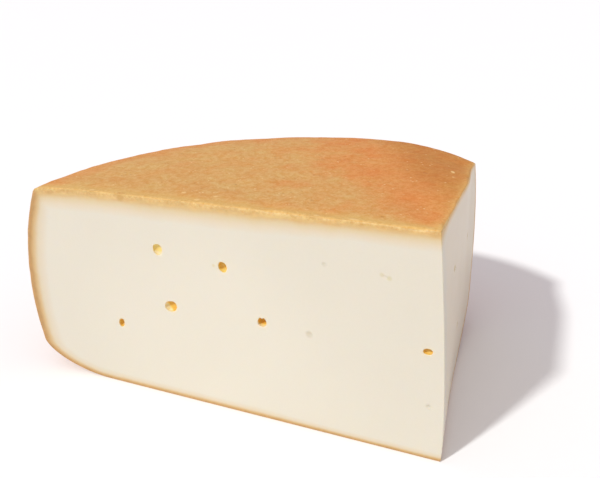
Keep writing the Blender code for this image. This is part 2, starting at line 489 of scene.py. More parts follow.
@dataclass
class CheesePiece:
    """The piece of cheese: rind all round, and two cut faces of paste with their gas holes.

    Base rind and end rind say how many times thinner the rind is there, halo how much of a hole's
    painted shade shows round its mouth, and chips by how many times its width the upper edge varies.
    Run lengths are rough lengths of the front cut, the end cut and the rim. Joins and fades are shares
    of a run, and the foot and top of the knife's waves are shares of the height.
    """

    wheel: WheelForm
    cuts: Cuts
    holes: Sequence[GasHole]
    edge_round: float = 0.0010
    foot_round: float = 0.0003
    foot_ease: float = 0.3
    edge_lead: float = 0.29
    edge_shares: tuple[float, ...] = (1.0, 0.83, 0.66, 0.5, 0.36, 0.22, 0.0)
    over_angles: tuple[float, ...] = (45.0, 62.0, 78.0, 90.0)
    corner_step: float = 0.0005
    corner_steps: tuple[float, ...] = (0.0, 1.0, 2.4, 4.4)
    front_search: Pair = (150.0, 200.0)
    end_search: Pair = (10.0, 88.0)
    halvings: int = 40
    front_columns: int = 150
    end_columns: int = 74
    rim_columns: int = 232
    run_lengths: Triple = (0.19, 0.10, 0.27)
    front_join: float = 0.10
    end_join: float = 0.85
    top_join: float = 0.12
    side_rows: int = 70
    heel_steps: int = 22
    top_rings: int = 58
    base_rings: int = 22
    middle: Pair = (-0.020, 0.052)
    base_rind: float = 2.7
    end_rind: float = 2.4
    end_rind_from: float = 0.02
    rim_blend: float = 0.0015
    knife_wave: float = 0.00007
    knife_wave_size: float = 0.021
    knife_wave_stretch: Triple = (1.0, 1.0, 0.35)
    knife_wave_fade: float = 0.05
    knife_wave_foot: Pair = (0.01, 0.06)
    knife_wave_top: Pair = (0.01, 0.08)
    halo: float = 0.11
    raggedness: float = 1.2
    chip_size: float = 0.0065
    chips: Pair = (-0.75, 1.5)
    chip_rise: float = 0.5
    chip_fade: float = 0.03
    hole_swell: float = 0.16
    hole_swell_size: float = 0.0016
    pale_slope: float = 0.9
    pale_reach: Pair = (-0.0004, 0.0010)
    swell: Swell = field(default_factory=lambda: Swell(19))

    def columns(self, count: int, length: float) -> Array:
        """Shares along one run of the outline, gathered at its two ends.

        Args:
            count: number of points, with the far end left to the next run.
            length: rough length of the run.

        Returns:
            Shares from 0, all below 1.
        """
        near = np.array(self.corner_steps) * self.corner_step / length
        between = np.linspace(near[-1], 1.0 - near[-1], count - 2 * (len(near) - 1))
        return np.concatenate((near[:-1], between, 1.0 - near[-2:0:-1]))

    def row_table(self) -> tuple[Array, Array, Array, int]:
        """The rows that run round the outline, from the foot to just inside the top's edge.

        Returns:
            Profile radii, profile heights, how far the cuts ease in at each row, and the number of
            the row where the cut faces end.
        """
        heel_radius, heel_height = self.wheel.heel_rows(self.heel_steps)
        round_radius, round_height = self.wheel.round_rows(np.array(self.edge_shares))
        side_height = np.linspace(self.wheel.heel_height, round_height[0], self.side_rows)[1:-1]
        radius = np.concatenate((heel_radius, self.wheel.side_radius(side_height), round_radius))
        height = np.concatenate((heel_height, side_height, round_height))
        last = len(radius) - len(self.over_angles)
        below = height[last] - height + self.edge_lead * self.edge_round
        lean = np.clip(1.0 - below / self.edge_round, 0.0, 1.0)
        ease = self.edge_round * (1.0 - np.sqrt(1.0 - lean**2))
        ease[last:] = self.edge_round * (1.0 - np.cos(np.radians(self.over_angles)))
        low = np.clip(1.0 - height / self.foot_round, 0.0, 1.0)
        ease += self.foot_ease * self.foot_round * low**2
        return radius, height, ease, last

    def crossing(
        self, radius: Array, height: Array, ease: Array, side: Side
    ) -> Array:
        """Angle at which each row of the skin meets a cut, found by halving an interval.

        Args:
            radius: profile radius of each row.
            height: profile height of each row.
            ease: how far the cut eases in at each row.
            side: the cut.

        Returns:
            Angles in degrees.
        """
        low, high = self.front_search if side is Side.FRONT else self.end_search
        near, far = np.full(len(radius), low), np.full(len(radius), high)
        for _ in range(self.halvings):
            turn = 0.5 * (near + far)
            place = self.skin(radius, height, turn)
            if side is Side.FRONT:
                outside = place[:, 1] > ease
            else:
                outside = place[:, 0] > self.end_x(place[:, 1], place[:, 2]) - ease
            near, far = np.where(outside, turn, near), np.where(outside, far, turn)
        return 0.5 * (near + far)

    def skin(self, radius: Array, height: Array, turn: Array) -> Array:
        """The wheel's skin, moved so that the front cut is at y = 0."""
        return self.wheel.skin(radius, height, turn) + np.array((0.0, self.cuts.centre_behind, 0.0))

    def top(self, x: Array, y: Array) -> Array:
        """Height of the top over a place behind the front cut."""
        return self.wheel.top_at(x, y - self.cuts.centre_behind)

    def end_x(self, y: Array, z: Array) -> Array:
        """Where the end cut runs at a place behind the front cut."""
        return self.cuts.end_x(y, z, self.wheel.height)

    def face_columns(self, side: Side) -> tuple[int, int]:
        """First column of a cut face, and the column after its last."""
        cut = self.front_columns + self.end_columns
        return (0, self.front_columns) if side is Side.FRONT else (self.front_columns, cut)

    def outline_rows(self) -> tuple[Array, int]:
        """All rows of the outline, from the foot to just inside the top's edge.

        A row of a cut face is a share of the height between the base and the top. It meets the rim's
        row beside the rim, and the difference fades out along the face.

        Returns:
            Points as rows by columns by three, and the number of the row where the cut faces end.
        """
        radius, height, ease, last = self.row_table()
        at_front = self.crossing(radius, height, ease, Side.FRONT)
        at_end = self.crossing(radius, height, ease, Side.END)
        corner_a = self.skin(radius, height, at_front)
        corner_c = self.skin(radius, height, at_end)

        drop = self.edge_round * (1.0 - np.sin(np.radians(self.over_angles)))
        share = height / height[last]
        over = np.concatenate((np.zeros(last), drop))[:, None]
        is_wall = np.arange(len(share))[:, None] <= last

        def face_height(x: Array, y: Array, chip: Array | float = 1.0) -> Array:
            """Heights of the rows where a cut face stands.

            Args:
                x: how far across each place is.
                y: how far behind the front cut each place is.
                chip: how many times its plain width the edge is broken off.

            Returns:
                Heights as rows by columns.
            """
            top_edge = self.top(x, y)
            return np.where(is_wall, share[:, None] * (top_edge - drop[0] * chip), top_edge - over * chip)

        def ragged(along: Array, shares: Array) -> Array:
            """How many times its plain width the knife broke from the upper edge.

            Args:
                along: distance along the edge.
                shares: the same as shares of the edge, at whose ends nothing is broken off.

            Returns:
                Factors as rows by columns, 1 on the lower rows.
            """
            line = joined(along, 0.3, 0.0)
            uneven = np.clip(self.swell.rough(line, self.chip_size, 4) * self.raggedness, *self.chips)
            rise = smooth_step(0.0, self.chip_rise, share)[:, None]
            return 1.0 + rise * uneven * window(shares, self.chip_fade)

        u = self.columns(self.front_columns, self.run_lengths[0])[None, :]
        corner_bx = self.end_x(np.zeros(len(height)), height) - ease
        x = corner_a[:, :1] + (corner_bx[:, None] - corner_a[:, :1]) * u
        chip = ragged(x[last], u[0])
        z = face_height(x, ease[:, None], chip)
        z = z + (corner_a[:, 2:] - z[:, :1]) * (1.0 - smooth_step(0.0, self.front_join, u))
        front = joined(x, ease[:, None] * chip, z)

        v = self.columns(self.end_columns, self.run_lengths[1])[None, :]
        y = ease[:, None] + (corner_c[:, 1:2] - ease[:, None]) * v
        x = self.end_x(y, height[:, None]) - ease[:, None]
        chip = ragged(y[last], v[0])
        z = face_height(x, y, chip)
        meet = face_height(corner_c[:, :1], corner_c[:, 1:2])
        z = z + (corner_c[:, 2:] - meet) * smooth_step(self.end_join, 1.0, v)
        x = self.end_x(y, z) - ease[:, None] * chip
        end = joined(x, y, z)
        end[:, 0, 2] = face_height(corner_bx[:, None], ease[:, None])[:, 0]

        w = self.columns(self.rim_columns, self.run_lengths[2])[None, :]
        turn = at_end[:, None] + (at_front - at_end)[:, None] * w
        rim = self.skin(radius[:, None], height[:, None], turn)
        rows = np.concatenate((front, end, rim), axis=1)
        return self.ease_corners(rows), last

    def ease_corners(self, rows: Array) -> Array:
        """Rounds the three upright edges: an edge point moves halfway to its neighbours' mean.

        Args:
            rows: points as rows by columns by three.

        Returns:
            The same with the edges rounded.
        """
        count = rows.shape[1]
        eased = rows.copy()
        for corner in (0, self.front_columns, self.front_columns + self.end_columns):
            beside = 0.5 * (rows[:, (corner - 1) % count] + rows[:, (corner + 1) % count])
            eased[:, corner] = 0.5 * (rows[:, corner] + beside)
        return eased

    def cap_rings(self, outer: Array, count: int, top: bool) -> Array:
        """Rings that shrink an outline towards the middle, in equal steps, on the top or the base.

        Args:
            outer: the outline's points.
            count: number of rings.
            top: whether the rings lie on the top.

        Returns:
            Points as rings by columns by three, from the outline inwards.
        """
        share = (np.arange(1, count + 1) / (count + 1))[:, None, None]
        plan = outer[None, :, :2] + (np.array(self.middle) - outer[None, :, :2]) * share
        if top:
            height = self.top(plan[..., 0], plan[..., 1])
            first = outer[:, 2] - self.top(outer[:, 0], outer[:, 1])
            height = height + first * (1.0 - smooth_step(0.0, self.top_join, share[..., 0]))
        else:
            height = np.zeros(plan.shape[:2])
        return np.concatenate((plan, height[..., None]), axis=-1)

    def face_relief(self, points: Array, last: int, start: int) -> Array:
        """Slight waves that the knife left on the cut faces, fading out towards their edges.

        Args:
            points: all rows of the outline.
            last: the row where the cut faces end.
            start: rows of the base before the outline's rows.

        Returns:
            The points with the waves added.
        """
        moved = points.copy()
        rows = slice(start, start + last + 1)
        for side in Side:
            low, high = self.face_columns(side)
            patch = moved[rows, low:high]
            up = patch[..., 2] / self.wheel.height
            inner = window(np.linspace(0.0, 1.0, high - low)[None, :], self.knife_wave_fade)
            inner = inner * smooth_step(*self.knife_wave_foot, up)
            inner = inner * smooth_step(*self.knife_wave_top, 1.0 - up)
            stretched = patch.reshape(-1, 3) * np.array(self.knife_wave_stretch)
            wave = self.swell.rough(stretched, self.knife_wave_size, 2).reshape(inner.shape) + 1.0
            if side is Side.FRONT:
                patch[..., 1] += wave * self.knife_wave * inner
            else:
                patch[..., 0] -= wave * self.knife_wave * inner
        return moved

    def whole_grid(self) -> tuple[Array, int, int]:
        """All rows from the middle of the base to the middle of the top.

        Returns:
            Points as rows by columns by three, and the first and last rows of the cut faces.
        """
        rows, last = self.outline_rows()
        base = self.cap_rings(rows[0], self.base_rings, top=False)[::-1]
        crown = self.cap_rings(rows[-1], self.top_rings, top=True)
        grid = np.concatenate((base, rows, crown), axis=0)
        start = len(base)
        return self.face_relief(grid, last, start), start, start + last

    def hole_block(
        self, hole: GasHole, grid: Array, start: int, last: int
    ) -> tuple[int, int, int, int]:
        """The block of the face's grid that a hole takes the place of.

        Args:
            hole: the hole.
            grid: all rows.
            start: first row of the cut faces.
            last: last row of the cut faces.

        Returns:
            First and last row and first and last column of the block's lines.
        """
        low, high = self.face_columns(hole.side)
        patch = grid[start : last + 1, low:high]
        distance = np.hypot(patch[..., hole.axis] - hole.along, patch[..., 2] - hole.height)
        row, column = np.unravel_index(np.argmin(distance), distance.shape)
        row, column = int(row) + start, int(column) + low
        return row - hole.rows, row + hole.rows, column - hole.columns, column + hole.columns

    def hole_rings(
        self, hole: GasHole, flat: Array, mouth: Array
    ) -> tuple[list[Array], Array, Array]:
        """Rings of a hole in the plane of its face, from outside its mouth to its middle.

        Outside the mouth the rings blend from the mouth's edge to the border. Inside an open hole,
        with an angle a from 0 to 90 degrees, the rings shrink as cos(a)^0.7 and go down as sin a,
        leaning away from the pale side. A dimple goes down as (1 - q^2)^2, with q its share of the
        mouth.

        Args:
            hole: the hole.
            flat: the border's directions, with their lengths.
            mouth: the mouth's edge in the same directions.

        Returns:
            The rings, the share of the hole's depth at each point, and how deeply each point takes
            the hole's painted shade.
        """
        rings = [mouth + (flat - mouth) * share for share in OUTSIDE_SHARES]
        if hole.mouth is Mouth.OPEN:
            turns = np.radians(OPEN_ANGLES)
            deeper = np.sin(turns)
            aside = -hole.pale_way() * hole.lean * hole.half_width
            rings += [mouth * np.cos(turn) ** 0.7 + aside * down**2 for turn, down in zip(turns, deeper)]
        else:
            sizes = np.array(DIMPLE_SIZES)
            deeper = (1.0 - sizes**2) ** 2
            rings += [mouth * size for size in sizes]
        outside = np.array(OUTSIDE_SHARES)
        shares = np.concatenate((np.zeros(len(outside)), deeper))
        # Painted shade: a little of it round the mouth, all of it deep in.
        tints = np.concatenate((self.halo * (1.0 - outside) ** 2, self.halo + (1.0 - self.halo) * deeper))
        rings.append(np.mean(rings[-1], axis=0, keepdims=True))
        around = len(mouth)
        return rings, np.append(np.repeat(shares, around), 1.0), np.append(np.repeat(tints, around), 1.0)

    def hole_patch(
        self, hole: GasHole, grid: Array, block: tuple[int, int, int, int], first: int
    ) -> tuple[Array, list[Array]]:
        """Points and faces that fill a block with a hole.

        The block's border gives the directions of the rings, with one more between each two.

        Args:
            hole: the hole.
            grid: all rows.
            block: first and last row and first and last column of the block.
            first: number of the first new point.

        Returns:
            The new points as x, y, z, how deeply each takes the hole's painted shade, and how dark
            that shade is, and the faces.
        """
        bottom, upper, left, right = block
        wide, tall = np.arange(left, right), np.arange(bottom, upper)
        loop_row = np.concatenate(
            (np.full(len(wide), bottom), tall, np.full(len(wide), upper), tall[::-1] + 1)
        )
        loop_column = np.concatenate(
            (wide, np.full(len(tall), right), wide[::-1] + 1, np.full(len(tall), left))
        )
        border = grid[loop_row, loop_column]
        here = loop_row * grid.shape[1] + loop_column

        target = np.empty((2 * len(here), 3))
        target[0::2] = border
        target[1::2] = 0.5 * (border + np.roll(border, -1, axis=0))
        flat = joined(target[:, hole.axis] - hole.along, target[:, 2] - hole.height)
        angle = np.arctan2(flat[:, 1], flat[:, 0])
        mouth = joined(np.cos(angle), np.sin(angle)) * hole.rim(angle, self.swell)[:, None]
        rings, shares, wall = self.hole_rings(hole, flat, mouth)

        plan, down = np.concatenate(rings), shares * hole.depth
        spread = joined(plan[:, 0], plan[:, 1], down) + 3.0 * hole.along
        uneven = self.hole_swell * self.swell.at(spread, self.hole_swell_size)
        down = down * (1.0 + uneven * (down > 0.0))
        along, height = plan[:, 0] + hole.along, plan[:, 1] + hole.height
        if hole.side is Side.FRONT:
            x, y = along, float(np.mean(border[:, 1])) + down
        else:
            x, y = self.end_x(along, height) - down, along
        # Painted shade on the wall, weaker on the hole's shallow, pale side.
        pale = smooth_step(*self.pale_reach, plan @ hole.pale_way() - self.pale_slope * np.abs(down))
        painted_shade = hole.painted_shade * (1.0 - hole.pale_side * pale)
        return joined(x, y, height, wall, painted_shade), ring_faces(here, first, len(rings) - 1)

    def under_skin(self, points: Array) -> tuple[Array, Array]:
        """How deep a point of a cut face lies under the rind, and how far it belongs to the rim.

        The nearest of the top and the rim counts. Low on the rim, where the skin slopes, the distance
        is a b / hypot(a, b) from the distances a outwards and b downwards. The rind is thinner on
        the base and on the end face, so depths count more there.

        Args:
            points: places on the cut faces.

        Returns:
            One depth for each place, and 0 where the top is nearest to 1 where the rim is.
        """
        x, y, z = points[:, 0], points[:, 1] - self.cuts.centre_behind, points[:, 2]
        turn = np.degrees(np.arctan2(y, x)) % 360.0
        radius = np.hypot(x, y)
        plain = radius - self.wheel.wave(turn) * self.wheel.outward(radius)
        heel_radius, heel_height = self.wheel.heel_rows(60)
        on_heel = np.interp(z, heel_height, heel_radius)
        skin_radius = np.where(z < self.wheel.heel_height, on_heel, self.wheel.side_radius(z))
        thinner = 1.0 + (self.end_rind - 1.0) * smooth_step(0.0, self.end_rind_from, points[:, 1])
        outward = np.clip(skin_radius - plain, 0.0, None) * thinner
        upward = np.clip(self.wheel.top_at(x, y) - z, 0.0, None) * thinner
        downward = np.clip(z - self.wheel.base_curve(plain), 0.0, None) * self.base_rind
        sloped = outward * downward / np.maximum(np.hypot(outward, downward), 1e-6)
        side = np.minimum(outward, sloped)
        rim_share = smooth_step(-self.rim_blend, self.rim_blend, upward - side)
        return np.minimum(upward, side), rim_share

    def build(self) -> bpy.types.Object:
        """Makes the piece: the grid, the holes in place of their blocks, and a fan at each middle.

        Returns:
            The finished piece.
        """
        grid, start, last = self.whole_grid()
        rows, columns = grid.shape[:2]
        row, column = np.meshgrid(np.arange(rows - 1), np.arange(columns), indexing="ij")
        here, ahead = row * columns + column, row * columns + (column + 1) % columns
        quads = joined(here, ahead, ahead + columns, here + columns)
        is_paste = (row >= start) & (row < last) & (column < self.face_columns(Side.END)[1])

        total = rows * columns
        plain = ((0, 0), (0, 2))
        points = [np.pad(grid.reshape(-1, 3), plain)]
        keep = np.ones(row.shape, dtype=bool)
        hole_faces: list[Array] = []
        for hole in self.holes:
            block = self.hole_block(hole, grid, start, last)
            keep[block[0] : block[1], block[2] : block[3]] = False
            new_points, faces = self.hole_patch(hole, grid, block, total)
            points.append(new_points)
            hole_faces += faces
            total += len(new_points)
            log.info("%s: %.1f mm deep, %d points", hole.name, hole.depth * 1000.0, len(new_points))

        points.append(np.pad((grid[0].mean(axis=0), grid[-1].mean(axis=0)), plain))
        turns, top_row = np.arange(columns), (rows - 1) * columns
        after = np.roll(turns, -1)
        fans = [joined(total, after, turns), joined(top_row + turns, top_row + after, total + 1)]
        in_holes = sum(len(group) for group in hole_faces)
        paste = np.concatenate((is_paste[keep], np.ones(in_holes, bool), np.zeros(2 * columns, bool)))
        return self.mesh_of(np.concatenate(points), [quads[keep], *hole_faces, *fans], paste)

    def mesh_of(self, points: Array, groups: list[Array], paste: Array) -> bpy.types.Object:
        """Makes the piece from its faces and the points that they use, moved into the part's frame.

        Args:
            points: x, y, z, how deeply each takes a hole's painted shade, and how dark that shade is. Some
                are unused.
            groups: the faces, as arrays of triangles or of quads.
            paste: whether each face belongs to the paste.

        Returns:
            The piece.
        """
        used = np.unique(np.concatenate([group.ravel() for group in groups]))
        number = np.zeros(len(points), dtype=np.int64)
        number[used] = np.arange(len(used))
        faces = [face for group in groups for face in number[group].tolist()]
        place, wall, painted_shade = points[used, :3], points[used, 3], points[used, 4]
        depth, rim_share = self.under_skin(place)
        from_cut = np.minimum(place[:, 1], self.end_x(place[:, 1], place[:, 2]) - place[:, 0])
        carried = {
            "under_skin": depth,
            "rim_share": rim_share,
            "from_cut": np.clip(from_cut, 0.0, None),
            # How deeply and how darkly a hole's painted shade lies at each point.
            "hole_wall": wall,
            "hole_ochre": painted_shade,
        }

        shift = np.array((CAD_BOX[1][0] - self.cuts.reach(self.wheel.height), CAD_BOX[0][1], 0.0))
        mesh = bpy.data.meshes.new("cheese")
        mesh.from_pydata((place + shift).tolist(), [], faces)
        for name, value in carried.items():
            layer = mesh.attributes.new(name, "FLOAT", "POINT")
            layer.data.foreach_set("value", value.astype(np.float32))
        mesh.polygons.foreach_set("material_index", paste.astype(np.int32))
        mesh.shade_smooth()
        mesh.update()
        piece = bpy.data.objects.new("cheese", mesh)
        bpy.context.scene.collection.objects.link(piece)
        return piece

    def dress(self, piece: bpy.types.Object, rind: "RindFinish", paste: "PasteFinish") -> None:
        """Gives the rind its finish in the first slot and the paste its own in the second."""
        piece.data.materials.append(rind.material())
        piece.data.materials.append(paste.material())


def operator(operation: str, swapped: bool = False) -> Callable[["Wire", Any], "Wire"]:
    """Makes a method of Wire out of one operation of the Math node.

    Args:
        operation: the node's name for the operation.
        swapped: whether the other value comes first.

    Returns:
        The method.
    """

    def method(wire: "Wire", other: Any) -> "Wire":
        """Puts the node on the wire and the other value."""
        first, second = (other, wire) if swapped else (wire, other)
        return wire.graph.maths(operation, first, second)

    return method


class Wire:
    """An output of a shader node that can stand in a Python expression."""

    def __init__(self, graph: "Graph", socket: bpy.types.NodeSocket) -> None:
        """Keeps the graph and the socket."""
        self.graph = graph
        self.socket = socket

    __add__, __radd__ = operator("ADD"), operator("ADD", swapped=True)
    __sub__, __rsub__ = operator("SUBTRACT"), operator("SUBTRACT", swapped=True)
    __mul__, __rmul__ = operator("MULTIPLY"), operator("MULTIPLY", swapped=True)
    __truediv__, __rtruediv__ = operator("DIVIDE"), operator("DIVIDE", swapped=True)


@dataclass(frozen=True)
class Grain:
    """A noise with features of about one over its scale, and how strongly it counts.

    A stretch below 1 along an axis makes the features longer that way.
    """

    scale: float
    detail: float = 2.0
    roughness: float = 0.5
    strength: float = 1.0
    stretch: Triple | None = None


@dataclass(frozen=True)
class Spots:
    """Spots at scattered points: their scale, how wide they are, and where they are picked."""

    scale: float
    size: Fade
    noise: Grain
    pick: Fade


class Graph:
    """The nodes of one material."""

    def __init__(self, name: str) -> None:
        """Starts a material with object coordinates, in metres, as its only node.

        Args:
            name: the material's name.
        """
        self.material = bpy.data.materials.new(name)
        self.material.use_nodes = True
        self.tree = self.material.node_tree
        self.tree.nodes.clear()
        self.place = self.wire("ShaderNodeTexCoord", output="Object")

    def node(
        self, kind: str, inputs: Inputs | None = None, settings: Settings | None = None
    ) -> bpy.types.ShaderNode:
        """Makes one node.

        Args:
            kind: Blender's name for the node's type.
            inputs: values or wires for its sockets.
            settings: the node's own settings, with a ramp's stops under "stops".

        Returns:
            The node.
        """
        made = self.tree.nodes.new(kind)
        for key, value in (settings or {}).items():
            if key == "stops":
                ramp = made.color_ramp.elements
                while len(ramp) < len(value):
                    ramp.new(0.5)
                for stop, (place, colour) in zip(ramp, value):
                    stop.position = place
                    stop.color = colour
            else:
                setattr(made, key, value)
        for key, value in (inputs or {}).items():
            socket = made.inputs[key]
            if isinstance(value, Wire):
                self.tree.links.new(value.socket, socket)
            else:
                socket.default_value = value
        return made

    def wire(
        self, kind: str, inputs: Inputs | None = None, settings: Settings | None = None, output: str | int = 0
    ) -> Wire:
        """Makes one node and gives one of its outputs."""
        return Wire(self, self.node(kind, inputs, settings).outputs[output])

    def maths(self, operation: str, first: Any, second: Any) -> Wire:
        """One Math node on two values."""
        return self.wire("ShaderNodeMath", {0: first, 1: second}, {"operation": operation})

    def vector(self, operation: str, inputs: Inputs, output: str | int = 0) -> Wire:
        """One Vector Math node."""
        return self.wire("ShaderNodeVectorMath", inputs, {"operation": operation}, output)

    def length(self, way: Wire) -> Wire:
        """Length of a vector."""
        return self.vector("LENGTH", {0: way}, "Value")

    def axes(self) -> tuple[Wire, Wire, Wire]:
        """The three parts of the place: across, back and up."""
        parts = self.node("ShaderNodeSeparateXYZ", {0: self.place}).outputs
        return Wire(self, parts[0]), Wire(self, parts[1]), Wire(self, parts[2])

    def noise(self, grain: Grain) -> Wire:
        """Smooth noise around 0.5.

        Args:
            grain: the noise's pattern.

        Returns:
            The noise.
        """
        place = self.place
        if grain.stretch:
            place = self.wire("ShaderNodeMapping", {"Vector": place, "Scale": grain.stretch})
        shape = {"Scale": grain.scale, "Detail": grain.detail, "Roughness": grain.roughness}
        return self.wire("ShaderNodeTexNoise", {"Vector": place} | shape)

    def times(self, value: Wire, factor: float) -> Wire:
        """A value times a factor, without a node where the factor is 1."""
        return value if factor == 1.0 else value * factor

    def sway(self, grain: Grain) -> Wire:
        """Smooth noise around 0, as strong as the grain says."""
        return self.times(self.noise(grain) - 0.5, grain.strength)

    def spots(self, spots: Spots) -> Wire:
        """Round spots at scattered points, kept where a noise is high.

        Args:
            spots: the spots' pattern.

        Returns:
            1 inside the spots and 0 between them.
        """
        cells = {"Vector": self.place, "Scale": spots.scale}
        away = self.wire("ShaderNodeTexVoronoi", cells, output="Distance")
        return self.fade(away, spots.size) * self.fade(self.noise(spots.noise), spots.pick)

    def around(self, at: Sequence[float], fade: Fade) -> Wire:
        """The fade's step over the distance from a place."""
        return self.fade(self.length(self.vector("SUBTRACT", {0: self.place, 1: at})), fade)

    def attribute(self, name: str) -> Wire:
        """A value that the mesh carries at its points."""
        return self.wire("ShaderNodeAttribute", None, {"attribute_name": name}, "Fac")

    def step(self, value: Wire, low: float, high: float) -> Wire:
        """Eased share of the way from low to high, held to 0..1."""
        reach = {"Value": value, "From Min": low, "From Max": high}
        return self.wire("ShaderNodeMapRange", reach, {"interpolation_type": "SMOOTHSTEP"})

    def fade(self, value: Wire, fade: Fade) -> Wire:
        """An eased step, as strong as the fade says."""
        return self.times(self.step(value, fade[0], fade[1]), fade[2])

    def mix(self, share: Any, first: Any, second: Any) -> Wire:
        """Blend of two colours."""
        held = {"data_type": "RGBA", "clamp_factor": True}
        return self.wire("ShaderNodeMix", {0: share, 6: first, 7: second}, held, 2)

    def scaled(self, colour: Any, amount: Any) -> Wire:
        """A colour made lighter or darker by a factor."""
        vector = colour if isinstance(colour, Wire) else colour[:3]
        return self.vector("SCALE", {0: vector, 3: amount})

    def tinted(self, colour: Wire, tint: Tint) -> Wire:
        """A colour with red, green and blue each made lighter or darker by a factor."""
        return self.vector("MULTIPLY", {0: colour, 1: tint})

    def bump(self, height: Wire, strength: float, distance: float) -> Wire:
        """A normal that follows a fine relief."""
        relief = {"Height": height, "Strength": strength, "Distance": distance}
        return self.wire("ShaderNodeBump", relief, output="Normal")

    def finish(self, inputs: Inputs) -> bpy.types.Material:
        """Closes the material with one principled shader.

        Args:
            inputs: values and wires of the shader's sockets.

        Returns:
            The material.
        """
        shader = self.node("ShaderNodeBsdfPrincipled", inputs)
        output = self.node("ShaderNodeOutputMaterial")
        self.tree.links.new(shader.outputs[0], output.inputs[0])
        return self.material


@dataclass(frozen=True)
class Finish:
    """What the looks of the paste and the rind share."""

    light: float = 1.0

    def tone(self, shade: Shade) -> Colour:
        """Colour of a surface that shows as a shade in the studio's light."""
        return linear(shade, self.light)

    def laid(self, graph: Graph, base: Wire, noise: Wire, mask: Wire, layers: Layers) -> Wire:
        """Lays shades over a colour where a noise is high or low.

        Args:
            graph: the material's nodes.
            base: the colour below.
            noise: the noise.
            mask: where the layers lie, from 0 to 1.
            layers: the layers, the lowest first.

        Returns:
            The colour.
        """
        for fade, shade in layers:
            base = graph.mix(graph.fade(noise, fade) * mask, base, self.tone(shade))
        return base


@dataclass(frozen=True)
class Fleck:
    """A small round spot of colour on a cut face, in the part's own frame.

    Some are stains in the paste, and some are painted shade, greyer and darker, in the faint dimples.
    """

    at: Triple
    reach: float
    strength: float
    shade: Shade
    core: float = 0.3


